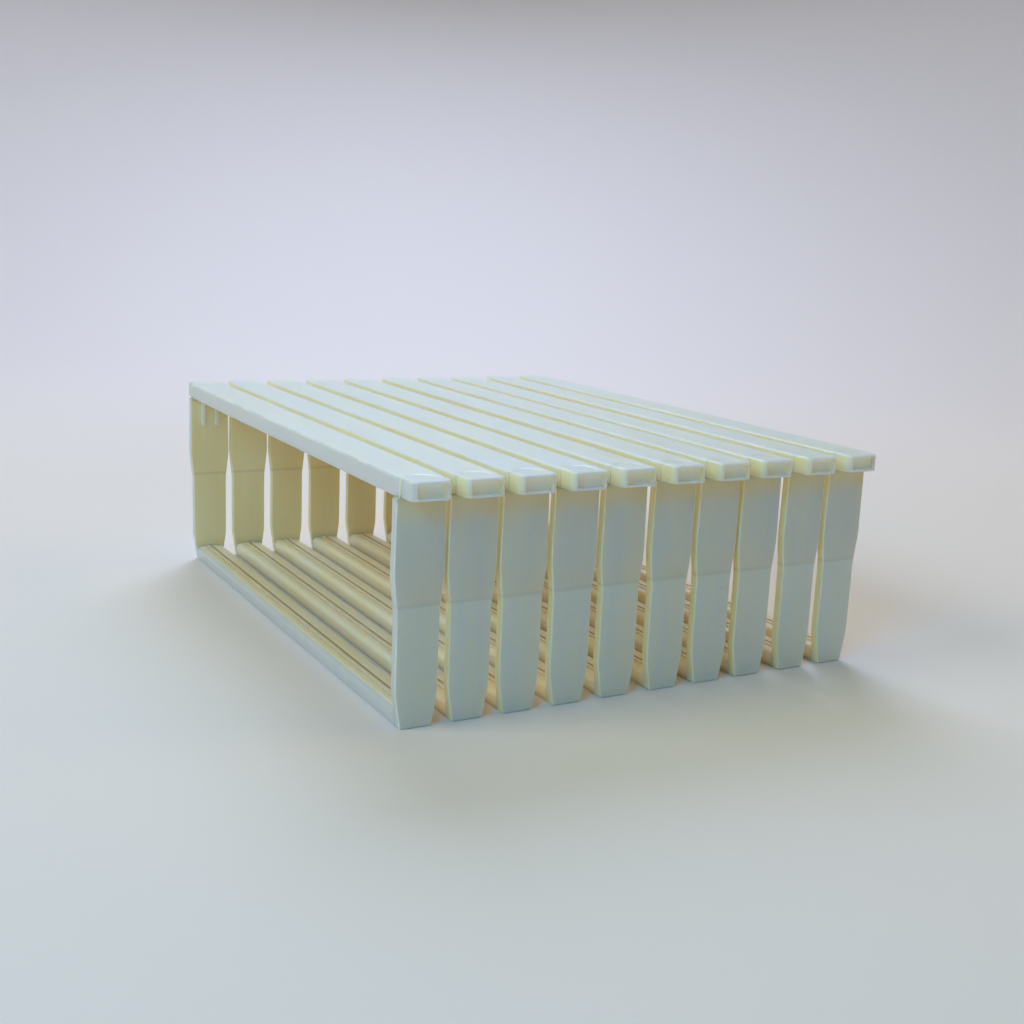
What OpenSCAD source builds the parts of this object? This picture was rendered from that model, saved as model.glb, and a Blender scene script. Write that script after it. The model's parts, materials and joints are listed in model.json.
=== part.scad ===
// A row of ten moulded plastic frames for a beehive, standing side by side.
// Each frame is snapped together from a top bar, two end bars and a bottom bar.
// The origin is on the floor under the middle of the row. X runs across the
// frames, Y runs along the bars, and Z is up. All sizes are in millimetres.

/* [Row] */
// Number of frames in the row
frame_count = 10; // [2:1:10]
// Open space between the shoulders of each two neighbours, first pair first
shoulder_gaps = [2, 2.5, 3.5, 3.5, 5.5, 3.5, 2.5, 6, 3.5];

/* [Frame] */
// Length of the top bar over both lugs
frame_length = 482.6; // [440:0.1:520]
// Height from the floor to the top of the top bar
frame_height = 159; // [150:0.5:240]
// How far each lug reaches past the outer face of its end bar
lug_reach = 15.5; // [13:0.5:22]

/* [Top bar] */
// Width of the top bar between the end bars
top_bar_width = 29.6; // [28.6:0.1:31]
// Thickness of the top bar
top_bar_thickness = 12.4; // [11:0.1:16]
// Radius on the long upper edges of the top bar
top_edge_radius = 1.3; // [0.4:0.1:1.5]
// Width of the foundation groove under the top bar
top_groove_width = 2.4; // [1.6:0.1:3.2]
// Depth of the foundation groove under the top bar
top_groove_depth = 4; // [2:0.1:5]

/* [Lugs] */
// Width of a lug
lug_width = 27; // [26:0.1:27.4]
// How much higher the underside of a lug is than the underside of the top bar
lug_rise = 0.5; // [0.2:0.1:1.5]
// Radius of a lug's two outer corners, seen from above
lug_corner_radius = 4.5; // [2:0.1:6]
// Width of the pocket in the end face of a lug
pocket_width = 20; // [14:0.5:22]
// Depth of the pocket in the end face of a lug
pocket_depth = 3.6; // [1:0.1:3.8]
// Plastic left under the pocket
pocket_sill = 1.4; // [1:0.1:3]
// Plastic left over the pocket
pocket_lintel = 1.8; // [1:0.1:3]
// Radius of the shallow round dish in the top of a lug
dish_radius = 11; // [8:0.5:11.5]
// Depth of the dish at its middle
dish_depth = 0.6; // [0.2:0.1:1]

/* [End bars] */
// Thickness of an end bar
end_bar_thickness = 6.5; // [6:0.1:9]
// Width of an end bar at its self-spacing shoulders
shoulder_width = 34; // [32:0.1:36]
// Width of an end bar at its very top
crown_width = 33; // [31:0.1:34]
// Width of an end bar at its waist
waist_width = 29; // [26:0.1:31]
// Width of an end bar where it stands on the floor
foot_width = 21.6; // [18:0.1:24]
// Height at which the shoulders begin to narrow
shoulder_bottom = 97; // [85:1:110]
// Height at which the waist begins
waist_top = 75.5; // [55:0.5:80]
// Height at which the waist begins to taper to the foot
waist_bottom = 23; // [15:1:35]
// Radius of the two lower corners of an end bar
foot_radius = 1.5; // [0.5:0.1:3]

/* [Bottom bar] */
// Height of the bottom bar at its rounded shoulders
bottom_bar_height = 12; // [10:0.5:14]
// Radius of the two upper edges of the bottom bar
bottom_edge_radius = 4; // [1:0.5:5]
// Width of the raised land along the middle of the bottom bar
land_width = 9; // [5:0.5:12]
// Height of the raised land
land_height = 0.6; // [0.2:0.1:1]
// Width of the foundation groove in the raised land
bottom_groove_width = 1.6; // [1:0.1:3]
// Depth of the foundation groove in the raised land
bottom_groove_depth = 3.6; // [2:0.1:5]

/* [Snap joints] */
// Length of the two prongs that hang from each end of the top bar
prong_length = 24; // [15:1:35]
// Width of a prong
prong_width = 3; // [2:0.1:4]
// Thickness of a prong
prong_thickness = 1.8; // [1.2:0.1:2.5]
// Distance from the middle of the frame to the middle of a prong
prong_offset = 6; // [4:0.5:9]
// How far the barb at the tip of a prong reaches into the end bar
barb_reach = 0.8; // [0.4:0.1:1.2]
// Height of the barb
barb_height = 2.2; // [1.5:0.1:4]
// Gap left around every tenon and barb
fit_gap = 0.15; // [0.1:0.05:0.3]

/* [Hidden] */
PIECES = ["top_bar", "front_end_bar", "rear_end_bar", "bottom_bar"];

ivory = [0.91, 0.9, 0.8];
arc_steps = 6;
dish_facets = 96;
// Length by which shapes that are joined run into each other
lap = 1;

top_bar_underside = frame_height - top_bar_thickness;
end_face_y = frame_length / 2 - lug_reach;
inner_face_y = end_face_y - end_bar_thickness;
lug_underside = top_bar_underside + lug_rise;
prong_tip_z = top_bar_underside - prong_length;

// Tenon on the crown of an end bar, held in a mortise under the top bar
crown_tenon = [18, 2.8, 5];
crown_tenon_y = end_face_y - end_bar_thickness / 2;
// Tenon on each end of the bottom bar, held in a blind mortise in an end bar
foot_tenon = [14, 4.2, 6];
foot_tenon_z = 3;

// Lean of the end bar's lower flanks, which the bottom bar shares
foot_lean = atan((waist_width - foot_width) / 2 / waist_bottom);
// Radius of the ball that leaves the dish in a lug
dish_ball = (pow(dish_radius, 2) + pow(dish_depth, 2)) / (2 * dish_depth);
dish_centre_y = frame_length / 2 - dish_radius - pocket_depth;

function node_name(n, piece) = str("frame_", n < 10 ? "0" : "", n, "_", piece);

// Distance from the first frame to frame n
function pitch_sum(n) = n <= 1 ? 0 : pitch_sum(n - 1) + shoulder_width + shoulder_gaps[n - 2];
function frame_x(n) = pitch_sum(n) - pitch_sum(frame_count) / 2;

function arc_points(centre, radius, from, to) =
    [for (i = [0:arc_steps])
        centre + radius * [cos(from + (to - from) * i / arc_steps),
                           sin(from + (to - from) * i / arc_steps)]];

// The right half of an outline, followed by its mirror image on the left
function both_sides(right) =
    concat(right, [for (i = [len(right) - 1:-1:0]) [-right[i][0], right[i][1]]]);

// Extrudes an outline drawn in X and Z along Y, centred on Y = 0
module along_y(length) {
    rotate([90, 0, 0])
        linear_extrude(length, center = true)
            children();
}

// A block given by its middle in X and its lowest corner in Y and Z
module block(size, middle_x, low_y, low_z) {
    translate([middle_x - size[0] / 2, low_y, low_z])
        cube(size);
}

// The child, and its mirror image at the other end of the frame
module both_ends() {
    children();
    mirror([0, 1, 0])
        children();
}

module top_bar_section() {
    round_x = top_bar_width / 2 - top_edge_radius;
    round_z = frame_height - top_edge_radius;
    polygon(both_sides(concat(
        [[top_bar_width / 2, top_bar_underside]],
        arc_points([round_x, round_z], top_edge_radius, 0, 90))));
}

module lug_plan() {
    round_x = lug_width / 2 - lug_corner_radius;
    round_y = frame_length / 2 - lug_corner_radius;
    polygon(both_sides(concat(
        [[lug_width / 2, end_face_y - lap]],
        arc_points([round_x, round_y], lug_corner_radius, 0, 90))));
}

module prong(side) {
    block([prong_width, prong_thickness, prong_length + lap],
          side * prong_offset, inner_face_y - prong_thickness, prong_tip_z);
    block([prong_width, barb_reach + prong_thickness, barb_height],
          side * prong_offset, inner_face_y - prong_thickness, prong_tip_z);
}

module lug_pocket() {
    block([pocket_width, pocket_depth + lap,
           frame_height - pocket_lintel - lug_underside - pocket_sill],
          0, frame_length / 2 - pocket_depth, lug_underside + pocket_sill);
}

module lug_dish() {
    translate([0, dish_centre_y, frame_height - dish_depth + dish_ball])
        sphere(dish_ball, $fn = dish_facets);
}

module crown_mortise() {
    block([crown_tenon[0] + 2 * fit_gap, crown_tenon[1] + 2 * fit_gap,
           crown_tenon[2] + fit_gap + lap],
          0, crown_tenon_y - crown_tenon[1] / 2 - fit_gap, top_bar_underside - lap);
}

module top_bar() {
    color(ivory)
        difference() {
            union() {
                along_y(2 * end_face_y)
                    top_bar_section();
                both_ends() {
                    translate([0, 0, lug_underside])
                        linear_extrude(frame_height - lug_underside)
                            lug_plan();
                    prong(-1);
                    prong(1);
                }
            }
            block([top_groove_width, 2 * inner_face_y, top_groove_depth + lap],
                  0, -inner_face_y, top_bar_underside - lap);
            both_ends() {
                lug_pocket();
                lug_dish();
                crown_mortise();
            }
        }
}

module end_bar_outline() {
    lean_turn = foot_radius * tan((90 + foot_lean) / 2);
    foot_round_x = foot_width / 2 - lean_turn * (1 - tan(foot_lean)) * cos(foot_lean);
    polygon(both_sides(concat(
        arc_points([foot_round_x, foot_radius], foot_radius, -90, -foot_lean),
        [[waist_width / 2, waist_bottom],
         [waist_width / 2, waist_top],
         [shoulder_width / 2, shoulder_bottom],
         [crown_width / 2, top_bar_underside]])));
}

// Blind hole that catches the barb of a prong
module barb_hole(side) {
    block([prong_width + 2 * fit_gap, barb_reach + fit_gap + lap, barb_height + 2 * fit_gap],
          side * prong_offset, inner_face_y - lap, prong_tip_z - fit_gap);
}

module foot_mortise() {
    block([foot_tenon[0] + 2 * fit_gap, foot_tenon[1] + fit_gap + lap,
           foot_tenon[2] + 2 * fit_gap],
          0, inner_face_y - lap, foot_tenon_z - fit_gap);
}

module end_bar() {
    color(ivory)
        difference() {
            union() {
                translate([0, end_face_y - end_bar_thickness / 2, 0])
                    along_y(end_bar_thickness)
                        end_bar_outline();
                block([crown_tenon[0], crown_tenon[1], crown_tenon[2] + lap],
                      0, crown_tenon_y - crown_tenon[1] / 2, top_bar_underside - lap);
            }
            barb_hole(-1);
            barb_hole(1);
            foot_mortise();
        }
}

module bottom_bar_section() {
    round_z = bottom_bar_height - bottom_edge_radius;
    round_x = foot_width / 2 + round_z * tan(foot_lean) - bottom_edge_radius / cos(foot_lean);
    land_z = bottom_bar_height + land_height;
    polygon(both_sides(concat(
        [[foot_width / 2, 0]],
        arc_points([round_x, round_z], bottom_edge_radius, -foot_lean, 90),
        [[land_width / 2, bottom_bar_height],
         [land_width / 2, land_z],
         [bottom_groove_width / 2, land_z],
         [bottom_groove_width / 2, land_z - bottom_groove_depth]])));
}

module bottom_bar() {
    color(ivory) {
        along_y(2 * inner_face_y)
            bottom_bar_section();
        both_ends()
            block([foot_tenon[0], foot_tenon[1] + lap, foot_tenon[2]],
                  0, inner_face_y - lap, foot_tenon_z);
    }
}

module place_piece(n, piece) {
    translate([frame_x(n), 0, 0]) {
        if (piece == "top_bar") top_bar();
        if (piece == "rear_end_bar") end_bar();
        if (piece == "front_end_bar") mirror([0, 1, 0]) end_bar();
        if (piece == "bottom_bar") bottom_bar();
    }
}

for (n = [1:frame_count])
    for (piece = PIECES)
        place_piece(n, piece);
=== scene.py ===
"""The looks of a row of ten moulded ivory plastic frames for a beehive.

Every frame is four mouldings: a top bar, two end bars and a bottom bar. One mesh of each kind is
built around the middle of a frame and then copied to all the frames. Sizes are in metres. X runs
across the frames, Y along the bars and Z up, as in the CAD frame.
"""

import json
import math

import bmesh
import bpy
from mathutils import Matrix, Vector

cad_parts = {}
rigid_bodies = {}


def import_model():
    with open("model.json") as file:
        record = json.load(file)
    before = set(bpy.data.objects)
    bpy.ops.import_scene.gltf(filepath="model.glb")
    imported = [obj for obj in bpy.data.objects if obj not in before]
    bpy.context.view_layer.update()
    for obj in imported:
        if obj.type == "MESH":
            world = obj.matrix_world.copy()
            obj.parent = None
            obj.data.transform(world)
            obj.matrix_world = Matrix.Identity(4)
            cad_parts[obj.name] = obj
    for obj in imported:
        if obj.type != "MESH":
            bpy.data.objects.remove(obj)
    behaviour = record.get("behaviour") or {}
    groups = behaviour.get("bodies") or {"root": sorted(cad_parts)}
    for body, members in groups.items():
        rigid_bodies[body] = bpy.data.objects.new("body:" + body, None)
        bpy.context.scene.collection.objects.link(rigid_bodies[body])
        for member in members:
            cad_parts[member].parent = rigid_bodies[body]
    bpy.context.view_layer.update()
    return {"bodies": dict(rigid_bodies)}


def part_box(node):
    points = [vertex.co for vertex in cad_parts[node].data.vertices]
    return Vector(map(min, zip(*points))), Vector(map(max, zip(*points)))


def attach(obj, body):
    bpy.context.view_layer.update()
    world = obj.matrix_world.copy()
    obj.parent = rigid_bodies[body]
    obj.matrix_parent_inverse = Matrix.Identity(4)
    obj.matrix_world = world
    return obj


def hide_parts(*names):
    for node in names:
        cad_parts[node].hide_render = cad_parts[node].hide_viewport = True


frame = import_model()

MM = 0.001
BODIES = sorted(frame["bodies"])

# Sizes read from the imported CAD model: those of the first frame, and the two sides of the row
bar_low, bar_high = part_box("frame_01_top_bar")
end_low, end_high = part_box("frame_01_rear_end_bar")
FRAME_TOP = bar_high.z
BAR_HALF_WIDTH = (bar_high.x - bar_low.x) / 2
LUG_TIP = bar_high.y
END_OUTER = end_high.y
END_INNER = end_low.y
SHOULDER_HALF_WIDTH = (end_high.x - end_low.x) / 2
ROW_LEFT = bar_low.x
ROW_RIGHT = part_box("frame_10_top_bar")[1].x

# Top bar, as in the CAD model
BAR_UNDERSIDE = FRAME_TOP - 12.4 * MM
BAR_EDGE_RADIUS = 1.3 * MM
LUG_HALF_WIDTH = 13.5 * MM
LUG_CORNER_RADIUS = 4.5 * MM
LUG_UNDERSIDE = BAR_UNDERSIDE + 0.5 * MM
POCKET_HALF_WIDTH = 10 * MM
POCKET_DEPTH = 3.6 * MM
POCKET_BOTTOM = LUG_UNDERSIDE + 1.4 * MM
POCKET_TOP = FRAME_TOP - 1.8 * MM
DISH_RADIUS = 11 * MM
DISH_DEPTH = 0.6 * MM
DISH_CENTRE = LUG_TIP - DISH_RADIUS - POCKET_DEPTH
GROOVE_HALF_WIDTH = 1.2 * MM
GROOVE_DEPTH = 4 * MM

# Prongs under the top bar, and tenons (across, along, up), as in the CAD model
PRONG_TIP = BAR_UNDERSIDE - 24 * MM
PRONG_HALF_WIDTH = 1.5 * MM
PRONG_THICKNESS = 1.8 * MM
PRONG_OFFSET = 6 * MM
BARB_REACH = 0.8 * MM
BARB_HEIGHT = 2.2 * MM
FIT_GAP = 0.15 * MM
CROWN_TENON = (18 * MM, 2.8 * MM, 5 * MM)
CROWN_TENON_START = (END_INNER + END_OUTER - CROWN_TENON[1]) / 2
FOOT_TENON = (14 * MM, 4.2 * MM, 6 * MM)
FOOT_TENON_BOTTOM = 3 * MM

# End bars, as in the CAD model
CROWN_HALF_WIDTH = 16.5 * MM
WAIST_HALF_WIDTH = 14.5 * MM
FOOT_HALF_WIDTH = 10.8 * MM
SHOULDER_BOTTOM = 97 * MM
WAIST_TOP = 75.5 * MM
WAIST_BOTTOM = 23 * MM
FOOT_RADIUS = 1.5 * MM

# Bottom bar, as in the CAD model
BOTTOM_HEIGHT = 12 * MM
BOTTOM_EDGE_RADIUS = 4 * MM
LAND_HALF_WIDTH = 4.5 * MM
LAND_HEIGHT = 0.6 * MM
LAND_TOP = BOTTOM_HEIGHT + LAND_HEIGHT
FOOT_GROOVE_HALF_WIDTH = 0.8 * MM
FOOT_GROOVE_DEPTH = 3.6 * MM

# Finer detail than the CAD model has: soft edges, flat dish floors, creases and ejector marks
BAR_LOWER_RADIUS = 0.5 * MM
POCKET_CORNER_RADIUS = 0.8 * MM
PRONG_CORNER_RADIUS = 0.5 * MM
FLANK_RADIUS = 60 * MM
CROWN_RADIUS = 1 * MM
END_EDGE_RADIUS = 0.8 * MM
BOTTOM_LOWER_RADIUS = 0.5 * MM
LAND_RADIUS = 0.3 * MM
SEAM_RADIUS = 0.2 * MM
SMALL_BEVEL = 0.25 * MM
DISH_FLOOR_SHARE = 0.8
DISH_FOOT_SHARE = 0.06
DISH_FOOT_DEPTH = 0.85 * DISH_DEPTH
CREASE_HEIGHT = 79 * MM
CREASE_RADIUS = 0.8 * MM
CREASE_DEPTH = 0.06 * MM
EJECTOR_RADIUS = 2.5 * MM
EJECTOR_DEPTH = 0.15 * MM
EJECTOR_STATIONS = (45 * MM, 135 * MM)

# How fine the curves are, and how far shapes that are joined or cut run into each other
SHARP_ANGLE = math.radians(32)
ARC_STEPS = 6
CREASE_STEPS = 32
DISC_STEPS = 64
SWEEP_STEPS = 24
FLOOR_STEPS = 96
LAP = 1 * MM

# The stage, its light and the camera
FLOOR_LEVEL = -0.2 * MM
FLOOR_THICKNESS = 20 * MM
FLOOR_COLOUR = (0.97, 0.87, 0.83, 1)
FLOOR_ROUGHNESS = 0.9
FLOOR_GLOSS = 0.1
SWEEP_FLAT = 1.6
SWEEP_BEND = 1.8
SWEEP_TURN = math.radians(74)
WORLD_COLOUR = (0.8, 0.9, 1, 1)
WORLD_STRENGTH = 0.01
CAMERA_PLACE = (-0.4971, -0.9175, 0.306)
CAMERA_AZIMUTH = math.radians(29.41)
CAMERA_ELEVATION = math.radians(12.28)
CAMERA_ROLL = math.radians(2.53)
CAMERA_LENS = 45.89
CAMERA_SENSOR = 36

# Ivory plastic inside the row: its colours, and the tint and the glow (share, reach) of each moulding
PALE_IVORY = (0.97, 0.87, 0.65, 1)
WARM_IVORY = (0.96, 0.83, 0.54, 1)
DEEP_IVORY = (0.92, 0.77, 0.46, 1)
MILKY_IVORY = (0.97, 0.9, 0.72, 1)
TOP_TINT = (1.03, 1, 0.96, 1)
UPRIGHT_TINT = (0.98, 0.99, 0.84, 1)
BOTTOM_TINT = (1.03, 0.99, 0.98, 1)
GLOW_COLOUR = (1, 0.85, 0.5)
TOP_GLOW = (1, 12 * MM)
UPRIGHT_GLOW = (0.7, 4 * MM)
BOTTOM_GLOW = (0.8, 5 * MM)
PRONG_GLOW = 1 * MM
IVORY_IOR = 1.5

# Painted light, and what time did to it: a painted sheen on the tops, painted shade and a floor
# reflection on the end bars' outer faces, painted shade in creases, the groove, low down and at the row's
# sides, painted highlights on the worn rims, stressed prongs, soiled joints with painted shade, and
# specks
# Painted light: a bluish sheen on the tops, grey shade on the end bars' outer faces, and that shade with
# a bluish floor reflection below the crease
BAR_PAINTED_SHEEN = (0.81, 0.86, 0.87, 1)
UPRIGHT_PAINTED_SHADE = (0.66, 0.68, 0.62, 1)
LOWER_UPRIGHT_SHADE_AND_REFLECTION = (0.69, 0.74, 0.69, 1)
# Painted shade on the faces at the two sides of the row
ROW_SIDE_SHADE = (0.58, 0.61, 0.61, 1)
# Painted highlight on the worn rims
RIM_HIGHLIGHT_IVORY = (0.9, 0.9, 0.78, 1)
STRESSED_IVORY = (0.96, 0.95, 0.88, 1)
# Brown for painted shade under the lugs, in the creases and low on the bottom bar, and for soiled joints
# mixed with painted shade
SHADE_AND_DIRT_BROWN = (0.46, 0.41, 0.23, 1)
# Painted shade in the bottom bar's groove, orange-brown
GROOVE_SHADE_BROWN = (0.62, 0.4, 0.18, 1)
SPECK_BROWN = (0.3, 0.24, 0.12, 1)

# Its patterns: scales and detail of noise, and the width, length and axis of flow lines
CLOUD_SCALE = 11
PATCH_SCALE = 60
SPECK_SCALE = 70
GRAIN_SCALE = 1400
CLOUD_DETAIL = 3
GRAIN_DETAIL = 1
BROAD_FLOW = (16 * MM, 160 * MM)
FINE_FLOW = (2.5 * MM, 60 * MM)
LENGTHWISE = 1
UPRIGHT = 2
SCUFF_SCALE = (900, 45, 900)
SCUFF_TURN = (0.3, 0.5, 0.7)

# Between which values of a pattern a layer fades in
CLOUD_FADE = (0.35, 0.65)
BROAD_FADE = (0.4, 0.75)
FINE_FADE = (0.5, 0.8)
SCUFF_FADE = (0.64, 0.74)
SPECK_FADE = (0.035, 0.02)
RIM_PATCH_FADE = (0.35, 0.6)
JOINT_PATCH_FADE = (0.7, 0.3)
# The painted sheen and shade fade in along the broad flow lines between these values
PAINTED_LIGHT_FADE = (0.35, 0.7)
GLOSS_FADE = (0.3, 0.7)

# How much of each layer shows where it is full
BROAD_SHARE = 0.5
FINE_SHARE = 0.35
# Shares of the painted sheen and shade along the flow lines, and on the pocket floors
PAINTED_LIGHT_SHARES = (0.92, 0.68)
POCKET_PAINTED_LIGHT_SHARE = 0.68
LOW_SHADE_SHARE = 0.75
ROW_SIDE_SHADE_SHARE = 0.85
SHADE_SHARE = 0.4
CREASE_SHADE_SHARE = 0.22
GROOVE_SHARE = 0.8
RIM_HIGHLIGHT_SHARE = 0.6
JOINT_DIRT_AND_SHADE_SHARE = 0.5
SPECK_SHARE = 0.55
STRESS_SHARE = 0.8

# Its roughness, and what is added to it
BASE_ROUGHNESS = (0.3, 0.44)
FLOW_ROUGHNESS = 0.06
SCUFF_ROUGHNESS = 0.12
DIRT_ROUGHNESS = 0.2
WEAR_ROUGHNESS = -0.08

# Its relief: how far each pattern rises
CLOUD_RELIEF = 0.5 * MM
PATCH_RELIEF = 0.06 * MM
BROAD_RELIEF = 0.05 * MM
FINE_RELIEF = 0.015 * MM
SCUFF_RELIEF = -0.01 * MM
GRAIN_RELIEF = 0.008 * MM

# Where the layers lie: places and widths of their masks
RIM_STOP = 0.1 * MM
RIM_SOFTNESS = 0.08 * MM
STEP_SOFTNESS = 0.1 * MM
JOINT_WIDTH = 0.5 * MM
JOINT_SOFTNESS = 3 * MM
FOOT_JOINT_RISE = 6 * MM
LUG_START = 3 * MM
LUG_SHADE = (2 * MM, 18 * MM)
END_BAR_START = END_INNER - 0.5 * MM
BOTTOM_BAR_STOP = END_INNER - 1 * MM
GROOVE_FLOOR_TOP = (11.5 * MM, 11 * MM)
GROOVE_WALL_BOTTOM = (9 * MM, 9.5 * MM)
GROOVE_FLOOR_MARGIN = 0.2 * MM
POCKET_FLOOR_WIDTH = 0.3 * MM
CREASE_SHADE_WIDTH = 0.4 * MM
CREASE_SHADE_SOFTNESS = 1.4 * MM
CREASE_CHANGE = (CREASE_HEIGHT + 2 * MM, CREASE_HEIGHT - 1 * MM)
PRONG_CHANGE = (BAR_UNDERSIDE, BAR_UNDERSIDE - 1 * MM)
# Painted shade low on the bottom bar fades in between these heights
LOW_SHADE_HEIGHT = (5.5 * MM, 0.5 * MM)
ROW_SIDE_WIDTH = (6 * MM, 5 * MM)

# How far a surface is turned to the side or to the end, from 0 to 1, where a mask starts and is full
NOT_SIDEWAYS = (0.6, 0.2)
PARTLY_SIDEWAYS = (0.3, 0.6)
SLIGHTLY_SIDEWAYS = (0.2, 0.4)
FULLY_SIDEWAYS = (0.93, 0.97)
LEVEL = (0.4, 0.3)
ENDWAYS = (0.7, 0.9)


# ---------------------------------------------------------------- outlines

def rounded(corners):
    """A closed outline from anticlockwise corners (x, y, radius); a radius over 0 becomes an arc."""
    outline = []
    for i, (x, y, radius) in enumerate(corners):
        here = Vector((x, y))
        if radius == 0:
            outline.append(here)
            continue
        before = (Vector(corners[i - 1][:2]) - here).normalized()
        after = (Vector(corners[(i + 1) % len(corners)][:2]) - here).normalized()
        half = before.angle(after) / 2
        centre = here + (before + after).normalized() * (radius / math.sin(half))
        start = here + before * (radius / math.tan(half)) - centre
        end = here + after * (radius / math.tan(half)) - centre
        first = math.atan2(start.y, start.x)
        turn = (math.atan2(end.y, end.x) - first + math.pi) % (2 * math.pi) - math.pi
        for step in range(ARC_STEPS + 1):
            angle = first + turn * step / ARC_STEPS
            outline.append(centre + radius * Vector((math.cos(angle), math.sin(angle))))
    return outline


def inset(outline, distance):
    """The same anticlockwise outline, moved inwards."""
    moved = []
    for i, here in enumerate(outline):
        arriving = (here - outline[i - 1]).normalized()
        leaving = (outline[(i + 1) % len(outline)] - here).normalized()
        normal = Vector((-arriving.y - leaving.y, arriving.x + leaving.x))
        moved.append(here + normal * (2 * distance / normal.length_squared))
    return moved


def both_sides(right):
    """The corners of the right half, going up, and then of the left half, going down."""
    return right + [(-x, y, radius) for x, y, radius in reversed(right)]


def rectangle(half_width, low, high, radius=0):
    return rounded(both_sides([(half_width, low, radius), (half_width, high, radius)]))


# ---------------------------------------------------------------- solids

def loft(rings):
    """A closed mesh through rings of equally many points, capped at both ends."""
    made = bmesh.new()
    verts = [[made.verts.new(point) for point in ring] for ring in rings]
    for low, high in zip(verts, verts[1:]):
        for i in range(len(low)):
            made.faces.new((low[i - 1], low[i], high[i], high[i - 1]))
    made.faces.new(reversed(verts[0]))
    made.faces.new(verts[-1])
    bmesh.ops.recalc_face_normals(made, faces=made.faces)
    return made


def rim(radius):
    """Pairs (rise, inset) that round a rim, from the face up to the full outline."""
    if radius == 0:
        return [(0, 0)]
    angles = [math.pi / 2 * step / ARC_STEPS for step in range(ARC_STEPS + 1)]
    return [(radius * (1 - math.cos(a)), radius * (1 - math.sin(a))) for a in angles]


def extrude(outline, low, high, place, low_radius=0, high_radius=0):
    """An outline drawn out from low to high, with rounded rims. place(point, level) gives (x, y, z)."""
    levels = [(low + rise, away) for rise, away in rim(low_radius)]
    levels += [(high - rise, away) for rise, away in reversed(rim(high_radius))]
    return loft([[place(point, level) for point in inset(outline, away)] for level, away in levels])


def upwards(point, level):
    return (point.x, point.y, level)


def lengthwise(point, level):
    return (point.x, level, point.y)


def sideways(point, level):
    return (level, point.x, point.y)


def block(size, middle_x, low_y, low_z):
    """A box given by its middle in X and its lowest corner in Y and Z."""
    outline = [Vector((middle_x + sx * size[0] / 2, low_y + sy * size[1]))
               for sx, sy in ((-1, 0), (1, 0), (1, 1), (-1, 1))]
    return extrude(outline, low_z, low_z + size[2], upwards)


def at_rear_and_front(parts):
    """The parts, and their mirror images at the front end of the frame."""
    return parts + [mirror_y(part.copy()) for part in parts]


def mirror_y(made):
    bmesh.ops.transform(made, matrix=Matrix.Scale(-1, 4, (0, 1, 0)), verts=made.verts)
    bmesh.ops.reverse_faces(made, faces=made.faces)
    return made


def as_object(name, parts):
    """One object that holds all the given bmesh parts."""
    mesh = bpy.data.meshes.new(name)
    whole = bmesh.new()
    for part in parts:
        part.to_mesh(mesh)
        whole.from_mesh(mesh)
        part.free()
    whole.to_mesh(mesh)
    whole.free()
    made = bpy.data.objects.new(name, mesh)
    bpy.context.scene.collection.objects.link(made)
    return made


def settle(made):
    """Applies an object's modifiers to its mesh."""
    graph = bpy.context.evaluated_depsgraph_get()
    mesh = bpy.data.meshes.new_from_object(made.evaluated_get(graph))
    made.modifiers.clear()
    made.data = mesh


def combine(made, operation, parts):
    """Adds parts to an object or cuts them out of it."""
    tool = as_object("tool", parts)
    step = made.modifiers.new(operation, "BOOLEAN")
    step.operation = operation
    step.solver = "EXACT"
    step.object = tool
    settle(made)
    bpy.data.objects.remove(tool)


def soften(made):
    """Rounds what edges are still sharp, and shades the surfaces smoothly between them."""
    bevel = made.modifiers.new("bevel", "BEVEL")
    bevel.width = SMALL_BEVEL
    bevel.segments = 2
    bevel.limit_method = "ANGLE"
    bevel.angle_limit = SHARP_ANGLE
    settle(made)
    made.data.shade_smooth()
    made.data.set_sharp_from_angle(angle=SHARP_ANGLE)
    weight = made.modifiers.new("weight", "WEIGHTED_NORMAL")
    weight.keep_sharp = True
    settle(made)


# ---------------------------------------------------------------- the four mouldings

def full_turn(steps):
    return [2 * math.pi * step / steps for step in range(steps)]


def disc(radius, rings, centre_y, height):
    """Circles for loft, around a point on the frame's middle line: pairs (share of the radius, level)."""
    return [[(share * radius * math.cos(a), centre_y + share * radius * math.sin(a), height + level)
             for a in full_turn(DISC_STEPS)] for share, level in rings]


def dish():
    """The hollow in a lug: a flat floor inside a sloping rim, instead of the CAD model's ball cut."""
    rings = [(DISH_FLOOR_SHARE, -DISH_DEPTH), (DISH_FLOOR_SHARE + DISH_FOOT_SHARE, -DISH_FOOT_DEPTH),
             (1, 0), (1 + LAP / DISH_RADIUS, LAP)]
    return loft(disc(DISH_RADIUS, rings, DISH_CENTRE, FRAME_TOP))


def ejector_mark(x, y):
    rings = [(1, -LAP), (1, EJECTOR_DEPTH)]
    mark = loft(disc(EJECTOR_RADIUS, rings, y, BAR_UNDERSIDE))
    bmesh.ops.translate(mark, vec=(x, 0, 0), verts=mark.verts)
    return mark


def pocket():
    outline = rectangle(POCKET_HALF_WIDTH, POCKET_BOTTOM, POCKET_TOP, POCKET_CORNER_RADIUS)
    return extrude(outline, LUG_TIP - POCKET_DEPTH, LUG_TIP + LAP, lengthwise, POCKET_CORNER_RADIUS / 2)


def prong(side):
    face = END_INNER
    back = face - PRONG_THICKNESS
    outline = rounded([
        (back, PRONG_TIP, PRONG_CORNER_RADIUS), (face, PRONG_TIP, 0),
        (face + BARB_REACH, PRONG_TIP + BARB_HEIGHT / 2, 0),
        (face + BARB_REACH, PRONG_TIP + BARB_HEIGHT, 0), (face, PRONG_TIP + BARB_HEIGHT, 0),
        (face, BAR_UNDERSIDE + LAP, 0), (back, BAR_UNDERSIDE + LAP, 0)])
    middle = side * PRONG_OFFSET
    return extrude(outline, middle - PRONG_HALF_WIDTH, middle + PRONG_HALF_WIDTH, sideways)


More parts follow.
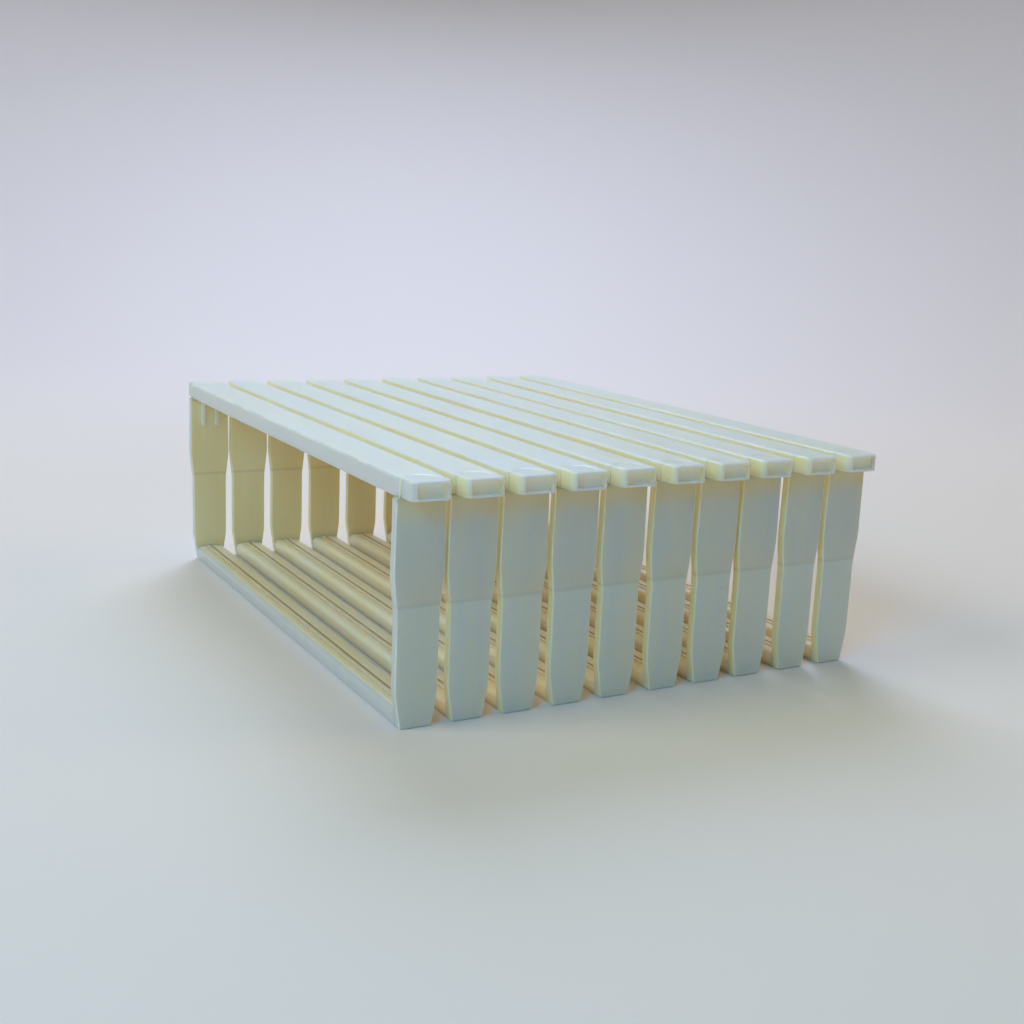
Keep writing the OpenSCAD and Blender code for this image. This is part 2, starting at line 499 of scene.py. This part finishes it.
def top_bar():
    right = [(LUG_HALF_WIDTH, LUG_TIP, LUG_CORNER_RADIUS), (LUG_HALF_WIDTH, END_OUTER, 0),
             (BAR_HALF_WIDTH, END_OUTER, 0)]
    right = [(x, -y, radius) for x, y, radius in right] + right[::-1]
    plan = rounded(both_sides(right))
    bar = as_object("top_bar", [
        extrude(plan, BAR_UNDERSIDE, FRAME_TOP, upwards, BAR_LOWER_RADIUS, BAR_EDGE_RADIUS)])
    combine(bar, "UNION", at_rear_and_front([prong(-1), prong(1)]))
    lug_rise = LUG_UNDERSIDE - BAR_UNDERSIDE
    lug_relief = block((4 * BAR_HALF_WIDTH, 2 * (LUG_TIP - END_OUTER), lug_rise + LAP),
                       0, END_OUTER, BAR_UNDERSIDE - LAP)
    width, thickness, height = CROWN_TENON
    mortise = block((width + 2 * FIT_GAP, thickness + 2 * FIT_GAP, height + FIT_GAP + LAP),
                    0, CROWN_TENON_START - FIT_GAP, BAR_UNDERSIDE - LAP)
    groove = block((2 * GROOVE_HALF_WIDTH, 2 * END_INNER, GROOVE_DEPTH + LAP),
                   0, -END_INNER, BAR_UNDERSIDE - LAP)
    marks = [ejector_mark(side * BAR_HALF_WIDTH / 2, y) for side in (-1, 1) for y in EJECTOR_STATIONS]
    hollows = [pocket(), dish(), lug_relief, mortise] + marks
    combine(bar, "DIFFERENCE", [groove] + at_rear_and_front(hollows))
    soften(bar)
    return bar


def crease(face, outwards):
    """A round rod that leaves a shallow line across one face of an end bar."""
    middle = face + outwards * (CREASE_RADIUS - CREASE_DEPTH)
    outline = [Vector((middle + CREASE_RADIUS * math.cos(a), CREASE_HEIGHT + CREASE_RADIUS * math.sin(a)))
               for a in full_turn(CREASE_STEPS)]
    return extrude(outline, -SHOULDER_HALF_WIDTH, SHOULDER_HALF_WIDTH, sideways)


def end_bar(name):
    outline = rounded(both_sides([
        (FOOT_HALF_WIDTH, 0, FOOT_RADIUS), (WAIST_HALF_WIDTH, WAIST_BOTTOM, FLANK_RADIUS),
        (WAIST_HALF_WIDTH, WAIST_TOP, FLANK_RADIUS),
        (SHOULDER_HALF_WIDTH, SHOULDER_BOTTOM, FLANK_RADIUS),
        (CROWN_HALF_WIDTH, BAR_UNDERSIDE, CROWN_RADIUS)]))
    bar = as_object(name, [
        extrude(outline, END_INNER, END_OUTER, lengthwise, END_EDGE_RADIUS / 2, END_EDGE_RADIUS)])
    tenon = block((CROWN_TENON[0], CROWN_TENON[1], CROWN_TENON[2] + LAP),
                  0, CROWN_TENON_START, BAR_UNDERSIDE - LAP)
    combine(bar, "UNION", [tenon])
    hole = (2 * (PRONG_HALF_WIDTH + FIT_GAP), BARB_REACH + FIT_GAP + LAP, BARB_HEIGHT + 2 * FIT_GAP)
    barb_holes = [block(hole, side * PRONG_OFFSET, END_INNER - LAP, PRONG_TIP - FIT_GAP)
                  for side in (-1, 1)]
    width, length, height = FOOT_TENON
    mortise = block((width + 2 * FIT_GAP, length + FIT_GAP + LAP, height + 2 * FIT_GAP),
                    0, END_INNER - LAP, FOOT_TENON_BOTTOM - FIT_GAP)
    combine(bar, "DIFFERENCE", barb_holes + [mortise, crease(END_OUTER, 1), crease(END_INNER, -1)])
    soften(bar)
    return bar


def rear_end_bar():
    return end_bar("rear_end_bar")


def front_end_bar():
    bar = end_bar("front_end_bar")
    made = bmesh.new()
    made.from_mesh(bar.data)
    mirror_y(made).to_mesh(bar.data)
    made.free()
    return bar


def bottom_bar():
    lean = (WAIST_HALF_WIDTH - FOOT_HALF_WIDTH) / WAIST_BOTTOM
    section = rounded(both_sides([
        (FOOT_HALF_WIDTH, 0, BOTTOM_LOWER_RADIUS),
        (FOOT_HALF_WIDTH + lean * BOTTOM_HEIGHT, BOTTOM_HEIGHT, BOTTOM_EDGE_RADIUS),
        (LAND_HALF_WIDTH, BOTTOM_HEIGHT, LAND_RADIUS), (LAND_HALF_WIDTH, LAND_TOP, LAND_RADIUS),
        (FOOT_GROOVE_HALF_WIDTH, LAND_TOP, LAND_RADIUS),
        (FOOT_GROOVE_HALF_WIDTH, LAND_TOP - FOOT_GROOVE_DEPTH, LAND_RADIUS)]))
    bar = as_object("bottom_bar", [
        extrude(section, -END_INNER, END_INNER, lengthwise, SEAM_RADIUS, SEAM_RADIUS)])
    tenon = block((FOOT_TENON[0], FOOT_TENON[1] + LAP, FOOT_TENON[2]),
                  0, END_INNER - LAP, FOOT_TENON_BOTTOM)
    combine(bar, "UNION", at_rear_and_front([tenon]))
    soften(bar)
    return bar


# ---------------------------------------------------------------- materials

def node(tree, kind, sockets=None, **settings):
    """Adds a shader node. A socket takes a constant, or the output of another node."""
    made = tree.nodes.new("ShaderNode" + kind)
    for name, value in settings.items():
        setattr(made, name, value)
    for name, value in (sockets or {}).items():
        if isinstance(value, bpy.types.NodeSocket):
            tree.links.new(value, made.inputs[name])
        else:
            made.inputs[name].default_value = value
    return made


def noise(tree, place, scale, detail=2):
    return node(tree, "TexNoise", {"Vector": place, "Scale": scale, "Detail": detail}).outputs["Fac"]


def stretched(tree, place, scale, turn=(0, 0, 0)):
    """The same place in a space that is scaled, so that a pattern in it is drawn out."""
    return node(tree, "Mapping", {"Vector": place, "Scale": scale, "Rotation": turn}).outputs["Vector"]


def remap(tree, value, low, high, new_low=0.0, new_high=1.0):
    sockets = {"Value": value, "From Min": low, "From Max": high, "To Min": new_low, "To Max": new_high}
    return node(tree, "MapRange", sockets).outputs["Result"]


def calculate(tree, operation, first, second):
    made = node(tree, "Math", operation=operation)
    for socket, value in zip(made.inputs, (first, second)):
        if isinstance(value, bpy.types.NodeSocket):
            tree.links.new(value, socket)
        else:
            socket.default_value = value
    return made.outputs[0]


def blend(tree, share, colour, other, how="MIX"):
    """Mixes a colour with a share of another one. The numbers are those of a colour mix's sockets."""
    made = node(tree, "Mix", data_type="RGBA", blend_type=how)
    for index, value in ((0, share), (6, colour), (7, other)):
        if isinstance(value, bpy.types.NodeSocket):
            tree.links.new(value, made.inputs[index])
        else:
            made.inputs[index].default_value = value
    return made.outputs[2]


def magnitude(tree, value):
    return node(tree, "Math", {"Value": value}, operation="ABSOLUTE").outputs[0]


def product(tree, first, second):
    return calculate(tree, "MULTIPLY", first, second)


def larger(tree, first, second):
    return calculate(tree, "MAXIMUM", first, second)


def total(tree, *values):
    summed = values[0]
    for value in values[1:]:
        summed = calculate(tree, "ADD", summed, value)
    return summed


def band(tree, value, low, high, fade):
    """1 where a value lies between two limits, fading to 0 beyond each of them."""
    return product(tree, remap(tree, value, low - fade, low), remap(tree, value, high + fade, high))


def flow(tree, place, along, width, length):
    """Noise that is drawn out along one axis, given by its number in (X, Y, Z)."""
    scale = [1 / width] * 3
    scale[along] = 1 / length
    return noise(tree, stretched(tree, place, scale), 1)


class Spot:
    """A point's place, and how far the surface there is turned to the side and to the bars' ends."""

    def __init__(self, tree):
        coordinates = node(tree, "TexCoord").outputs
        axes = node(tree, "SeparateXYZ", {"Vector": coordinates["Object"]}).outputs
        normal = node(tree, "SeparateXYZ", {"Vector": coordinates["Normal"]}).outputs
        self.place = coordinates["Object"]
        self.across = axes["X"]
        self.reach = magnitude(tree, axes["Y"])
        self.height = axes["Z"]
        self.sideways = magnitude(tree, normal["X"])
        self.endways = magnitude(tree, normal["Y"])


class Pattern:
    """Clouds, patches, scuffs and specks, and flow lines along one axis of the moulding."""

    def __init__(self, tree, place, along):
        scuffs = noise(tree, stretched(tree, place, SCUFF_SCALE, SCUFF_TURN), 1)
        specks = node(tree, "TexVoronoi", {"Vector": place, "Scale": SPECK_SCALE}, feature="F1")
        self.clouds = noise(tree, place, CLOUD_SCALE, CLOUD_DETAIL)
        self.patches = noise(tree, place, PATCH_SCALE, CLOUD_DETAIL)
        self.broad_flow = flow(tree, place, along, *BROAD_FLOW)
        self.fine_flow = flow(tree, place, along, *FINE_FLOW)
        self.scuffs = remap(tree, scuffs, *SCUFF_FADE)
        self.specks = remap(tree, specks.outputs["Distance"], *SPECK_FADE)


# ---------------------------------------------------------------- where the plastic has changed

def worn_rims_and_highlight(tree, spot, pattern):
    """Patches of the handled edges, the top bar's upper rim and the end bars' outer rims: worn, and
    painted lighter as a highlight.
    """
    upper = band(tree, spot.height, FRAME_TOP - BAR_EDGE_RADIUS, FRAME_TOP - RIM_STOP, RIM_SOFTNESS)
    outer = band(tree, spot.reach, END_OUTER - END_EDGE_RADIUS, END_OUTER - RIM_STOP, RIM_SOFTNESS)
    return product(tree, larger(tree, upper, outer), remap(tree, pattern.patches, *RIM_PATCH_FADE))


def joint_dirt_and_painted_shade(tree, spot, pattern):
    """Patches of soil with painted shade under the top bar, and where the bottom bar meets the end bars.
    """
    crown = band(tree, spot.height, BAR_UNDERSIDE - JOINT_WIDTH, BAR_UNDERSIDE, JOINT_SOFTNESS)
    foot = product(tree, band(tree, spot.reach, END_INNER - JOINT_WIDTH, END_INNER, JOINT_SOFTNESS),
                   remap(tree, spot.height, BOTTOM_HEIGHT + FOOT_JOINT_RISE, BOTTOM_HEIGHT))
    return product(tree, larger(tree, crown, foot), remap(tree, pattern.patches, *JOINT_PATCH_FADE))


def painted_light_masks(tree, spot):
    """Where light and shade are painted: a sheen on the tops, shade on the end bars' outer faces, and the
    shadow of the lugs below them.
    """
    above_underside = (BAR_UNDERSIDE, BAR_UNDERSIDE + STEP_SOFTNESS)
    upper = remap(tree, spot.height, FRAME_TOP - 2 * BAR_EDGE_RADIUS, FRAME_TOP - BAR_EDGE_RADIUS / 2)
    lug_start = remap(tree, spot.height, *above_underside, 0, LUG_START)
    outer = remap(tree, calculate(tree, "SUBTRACT", spot.reach, lug_start),
                  END_OUTER - 2 * END_EDGE_RADIUS, END_OUTER - END_EDGE_RADIUS / 2)
    below_lugs = remap(tree, spot.height, *[BAR_UNDERSIDE - depth for depth in LUG_SHADE])
    clear_of_lug_shadow = larger(tree, remap(tree, spot.height, *above_underside), below_lugs)
    facing = remap(tree, spot.sideways, *NOT_SIDEWAYS)
    faces = larger(tree, upper, product(tree, outer, clear_of_lug_shadow))
    shade = product(tree, outer, calculate(tree, "SUBTRACT", 1, clear_of_lug_shadow))
    return product(tree, faces, facing), product(tree, shade, facing)


def painted_light_share(tree, spot, pattern, painted_light_faces):
    """The share of painted sheen and shade, uneven along the broad flow lines and weaker on the floors of
    the pockets.
    """
    uneven = product(tree, painted_light_faces, remap(tree, pattern.broad_flow, *PAINTED_LIGHT_FADE, *PAINTED_LIGHT_SHARES))
    return product(tree, uneven, remap(tree, pocket_floor(tree, spot), 0, 1, 1, POCKET_PAINTED_LIGHT_SHARE))


def pocket_floor(tree, spot):
    """The floor of the pocket in a lug, told by its place along the bar and its tilt."""
    floor = LUG_TIP - POCKET_DEPTH
    depth = band(tree, spot.reach, floor - POCKET_FLOOR_WIDTH, floor + POCKET_FLOOR_WIDTH,
                 POCKET_FLOOR_WIDTH)
    return product(tree, depth, remap(tree, spot.endways, *ENDWAYS))


def on_end_bars(tree, spot):
    return remap(tree, spot.reach, BOTTOM_BAR_STOP, END_BAR_START)


def on_bottom_bar(tree, spot):
    return remap(tree, spot.reach, END_BAR_START, BOTTOM_BAR_STOP)


def foundation_groove(tree, spot):
    """Painted orange-brown shade in the groove of the bottom bar and on the step of its land, told by
    their height and their tilt.
    """
    floor = product(tree, remap(tree, spot.sideways, *LEVEL), remap(tree, spot.height, *GROOVE_FLOOR_TOP))
    walls = product(tree, remap(tree, spot.sideways, *FULLY_SIDEWAYS),
                    remap(tree, spot.height, *GROOVE_WALL_BOTTOM))
    bottom = LAND_TOP - FOOT_GROOVE_DEPTH - GROOVE_FLOOR_MARGIN
    inside = product(tree, larger(tree, floor, walls),
                     band(tree, spot.height, bottom, LAND_TOP, STEP_SOFTNESS))
    step = product(tree, remap(tree, spot.sideways, *SLIGHTLY_SIDEWAYS),
                   band(tree, spot.height, BOTTOM_HEIGHT, LAND_TOP, STEP_SOFTNESS))
    return product(tree, larger(tree, inside, step), on_bottom_bar(tree, spot))


def crease_painted_shade(tree, spot):
    """Painted shade: a soft dark line along the creases of the end bars."""
    near = band(tree, spot.height, CREASE_HEIGHT - CREASE_SHADE_WIDTH, CREASE_HEIGHT + CREASE_SHADE_WIDTH,
                CREASE_SHADE_SOFTNESS)
    return product(tree, near, on_end_bars(tree, spot))


def low_painted_shade(tree, spot):
    """Painted shade, on the lower part of the bottom bar's flanks near the ground."""
    return product(tree, remap(tree, spot.height, *LOW_SHADE_HEIGHT), on_bottom_bar(tree, spot))


def row_sides_painted_shade(tree, spot):
    """Painted shade on the faces turned outwards at the two sides of the row."""
    left = remap(tree, spot.across, *[ROW_LEFT + width for width in ROW_SIDE_WIDTH])
    right = remap(tree, spot.across, *[ROW_RIGHT - width for width in ROW_SIDE_WIDTH])
    return product(tree, larger(tree, left, right), remap(tree, spot.sideways, *PARTLY_SIDEWAYS))


# ---------------------------------------------------------------- the plastic

def clean_colour(tree, pattern, tint):
    """Tinted ivory with clouds of a warmer one, and deeper and milkier flow lines."""
    colour = blend(tree, remap(tree, pattern.clouds, *CLOUD_FADE), PALE_IVORY, WARM_IVORY)
    colour = blend(tree, remap(tree, pattern.broad_flow, *BROAD_FADE, 0, BROAD_SHARE), colour, DEEP_IVORY)
    colour = blend(tree, remap(tree, pattern.fine_flow, *FINE_FADE, 0, FINE_SHARE), colour, MILKY_IVORY)
    return blend(tree, 1, colour, tint, "MULTIPLY")


def colour_with_painted_light(tree, spot, pattern, rim_wear_and_highlight, joint_dirt_and_shade, colour, painted_light_colours):
    """The clean colour under painted sheen and shade (different above and below the crease), then painted
    shades, rim highlights, soiled joints and specks.
    """
    painted_light_faces, shade = painted_light_masks(tree, spot)
    # Painted sheen on the tops and painted shade on the end bars' outer faces, bluer below the crease
    painted_light_colour = blend(tree, remap(tree, spot.height, *CREASE_CHANGE), *painted_light_colours)
    colour = blend(tree, painted_light_share(tree, spot, pattern, painted_light_faces), colour, painted_light_colour)
    # Painted shade: the bottom bar darker near the ground
    layers = [(low_painted_shade(tree, spot), LOW_SHADE_SHARE, SHADE_AND_DIRT_BROWN),
              # Painted shade on the row's outer sides
              (row_sides_painted_shade(tree, spot), ROW_SIDE_SHADE_SHARE, ROW_SIDE_SHADE),
              # Painted shadow under the lugs
              (shade, SHADE_SHARE, SHADE_AND_DIRT_BROWN),
              # Painted shade along the creases
              (crease_painted_shade(tree, spot), CREASE_SHADE_SHARE, SHADE_AND_DIRT_BROWN),
              # Painted shade in the groove and on the land's step
              (foundation_groove(tree, spot), GROOVE_SHARE, GROOVE_SHADE_BROWN),
              # Worn rims, painted lighter as a highlight
              (rim_wear_and_highlight, RIM_HIGHLIGHT_SHARE, RIM_HIGHLIGHT_IVORY),
              # Soiled joints, darkened with painted shade
              (joint_dirt_and_shade, JOINT_DIRT_AND_SHADE_SHARE, SHADE_AND_DIRT_BROWN),
              (pattern.specks, SPECK_SHARE, SPECK_BROWN)]
    for mask, share, other in layers:
        colour = blend(tree, product(tree, mask, share), colour, other)
    return colour


def satin(tree, pattern, rim_wear_and_highlight, joint_dirt_and_shade):
    """The roughness: cloudy patches, flow lines and scuffs; polished rims and dull soiled joints."""
    return total(tree, remap(tree, pattern.patches, *GLOSS_FADE, *BASE_ROUGHNESS),
                 product(tree, pattern.broad_flow, FLOW_ROUGHNESS),
                 product(tree, pattern.scuffs, SCUFF_ROUGHNESS),
                 product(tree, joint_dirt_and_shade, DIRT_ROUGHNESS),
                 product(tree, rim_wear_and_highlight, WEAR_ROUGHNESS))


def relief(tree, spot, pattern):
    """Slow waves of a cooled moulding, flow lines, scuffs and fine grain, as a normal."""
    grain = noise(tree, spot.place, GRAIN_SCALE, GRAIN_DETAIL)
    height = total(tree, product(tree, pattern.clouds, CLOUD_RELIEF),
                   product(tree, pattern.patches, PATCH_RELIEF),
                   product(tree, pattern.broad_flow, BROAD_RELIEF),
                   product(tree, pattern.fine_flow, FINE_RELIEF),
                   product(tree, pattern.scuffs, SCUFF_RELIEF),
                   product(tree, grain, GRAIN_RELIEF))
    return node(tree, "Bump", {"Height": height, "Distance": 1.0}).outputs["Normal"]


def moulded_ivory(name, along, tint, painted_light_colours, glow, has_prongs=False):
    """Ivory plastic for one kind of moulding. Prongs glow less deeply and are stressed paler."""
    material = bpy.data.materials.new(name)
    material.use_nodes = True
    tree = material.node_tree
    shader = tree.nodes["Principled BSDF"].inputs
    glow_share, glow_reach = glow
    shader["IOR"].default_value = IVORY_IOR
    shader["Subsurface Weight"].default_value = glow_share
    shader["Subsurface Radius"].default_value = GLOW_COLOUR
    shader["Subsurface Scale"].default_value = glow_reach

    spot = Spot(tree)
    pattern = Pattern(tree, spot.place, along)
    # Worn rims, with a painted highlight in the colour and real polish in the roughness
    rim_wear_and_highlight = worn_rims_and_highlight(tree, spot, pattern)
    # Soiled joints, with painted shade under the top bar and at the bottom bar's ends
    joint_dirt_and_shade = joint_dirt_and_painted_shade(tree, spot, pattern)
    colour = clean_colour(tree, pattern, tint)
    colour = colour_with_painted_light(tree, spot, pattern, rim_wear_and_highlight, joint_dirt_and_shade, colour, painted_light_colours)
    if has_prongs:
        thin = remap(tree, spot.height, *PRONG_CHANGE)
        colour = blend(tree, product(tree, thin, STRESS_SHARE), colour, STRESSED_IVORY)
        tree.links.new(remap(tree, thin, 0, 1, glow_reach, PRONG_GLOW), shader["Subsurface Scale"])
    tree.links.new(colour, shader["Base Color"])
    tree.links.new(satin(tree, pattern, rim_wear_and_highlight, joint_dirt_and_shade), shader["Roughness"])
    tree.links.new(relief(tree, spot, pattern), shader["Normal"])
    return material


# ---------------------------------------------------------------- the row

def place_row():
    # The pair after each tint is the moulding's painted sheen or shade, above and below the crease
    top_plastic = moulded_ivory(
        "ivory_top_bar", LENGTHWISE, TOP_TINT, (BAR_PAINTED_SHEEN, BAR_PAINTED_SHEEN), TOP_GLOW, has_prongs=True)
    upright_plastic = moulded_ivory(
        "ivory_end_bar", UPRIGHT, UPRIGHT_TINT, (UPRIGHT_PAINTED_SHADE, LOWER_UPRIGHT_SHADE_AND_REFLECTION), UPRIGHT_GLOW)
    bottom_plastic = moulded_ivory(
        "ivory_bottom_bar", LENGTHWISE, BOTTOM_TINT, (BAR_PAINTED_SHEEN, BAR_PAINTED_SHEEN), BOTTOM_GLOW)
    masters = {"top_bar": (top_bar(), top_plastic),
               "front_end_bar": (front_end_bar(), upright_plastic),
               "rear_end_bar": (rear_end_bar(), upright_plastic),
               "bottom_bar": (bottom_bar(), bottom_plastic)}
    for body in BODIES:
        low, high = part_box(body + "_top_bar")
        middle = (low.x + high.x) / 2
        for kind, (master, material) in masters.items():
            mesh = master.data.copy()
            mesh.transform(Matrix.Translation((middle, 0, 0)))
            mesh.materials.append(material)
            piece = bpy.data.objects.new(f"{body}_{kind}_moulding", mesh)
            bpy.context.scene.collection.objects.link(piece)
            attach(piece, body)
            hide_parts(f"{body}_{kind}")
    for master, _ in masters.values():
        bpy.data.objects.remove(master)


# ---------------------------------------------------------------- stage, light and camera

def stage():
    """A round pale floor that curves up into a low wall all round, like a studio sweep."""
    bends = [SWEEP_TURN * step / SWEEP_STEPS for step in range(SWEEP_STEPS + 1)]
    profile = [(SWEEP_FLAT + SWEEP_BEND * math.sin(a), FLOOR_LEVEL + SWEEP_BEND * (1 - math.cos(a)))
               for a in bends]
    back = SWEEP_FLAT + SWEEP_BEND
    profile = [(back, FLOOR_LEVEL - FLOOR_THICKNESS), (back, profile[-1][1])] + profile[::-1]
    rings = [[(reach * math.cos(a), reach * math.sin(a), level) for a in full_turn(FLOOR_STEPS)]
             for reach, level in profile]
    floor = as_object("floor", [loft(rings)])
    floor.data.shade_smooth()
    floor.data.set_sharp_from_angle(angle=SHARP_ANGLE)
    material = bpy.data.materials.new("pale_floor")
    material.use_nodes = True
    shader = material.node_tree.nodes["Principled BSDF"].inputs
    shader["Base Color"].default_value = FLOOR_COLOUR
    shader["Roughness"].default_value = FLOOR_ROUGHNESS
    shader["Specular IOR Level"].default_value = FLOOR_GLOSS
    floor.data.materials.append(material)


def lamp(name, place, size, power, colour):
    """A round soft lamp that shines at the middle of the row."""
    data = bpy.data.lights.new(name, "AREA")
    data.shape = "DISK"
    data.size = size
    data.energy = power
    data.color = colour
    made = bpy.data.objects.new(name, data)
    made.location = place
    made.rotation_euler = (-Vector(place)).to_track_quat("-Z", "Y").to_euler()
    made.visible_camera = False
    bpy.context.scene.collection.objects.link(made)


def lights():
    world = bpy.data.worlds.new("studio")
    world.use_nodes = True
    background = world.node_tree.nodes["Background"].inputs
    background["Color"].default_value = WORLD_COLOUR
    background["Strength"].default_value = WORLD_STRENGTH
    bpy.context.scene.world = world
    lamp("overhead", place=(0, 0, 2.6), size=2.2, power=10, colour=(0.96, 1, 0.3))
    lamp("window", place=(0.8, 1.9, 2.2), size=1.8, power=50, colour=(0.6, 0.72, 1))
    lamp("left", place=(-2.3, 0.2, 1.8), size=1.4, power=22, colour=(1, 0.98, 0.86))
    lamp("right", place=(2.1, -0.8, 1.8), size=1.4, power=8, colour=(1, 0.7, 0.2))
    lamp("left_front", place=(-1.7, -1.2, 1.5), size=1.2, power=19, colour=(0.06, 0.5, 1))


def camera():
    """Looks down at the row from one of its corners; azimuth is turned from Y towards X."""
    level_share = math.cos(CAMERA_ELEVATION)
    forward = Vector((math.sin(CAMERA_AZIMUTH) * level_share, math.cos(CAMERA_AZIMUTH) * level_share,
                      -math.sin(CAMERA_ELEVATION)))
    level = Vector((math.cos(CAMERA_AZIMUTH), -math.sin(CAMERA_AZIMUTH), 0))
    right = Matrix.Rotation(-CAMERA_ROLL, 3, forward) @ level
    turn = Matrix((right, right.cross(forward), -forward)).transposed()
    data = bpy.data.cameras.new("camera")
    data.lens = CAMERA_LENS
    data.sensor_width = CAMERA_SENSOR
    made = bpy.data.objects.new("camera", data)
    made.matrix_world = Matrix.Translation(CAMERA_PLACE) @ turn.to_4x4()
    bpy.context.scene.collection.objects.link(made)
    bpy.context.scene.camera = made


camera()
stage()
lights()
place_row()
bpy.context.scene.view_settings.view_transform = "Standard"
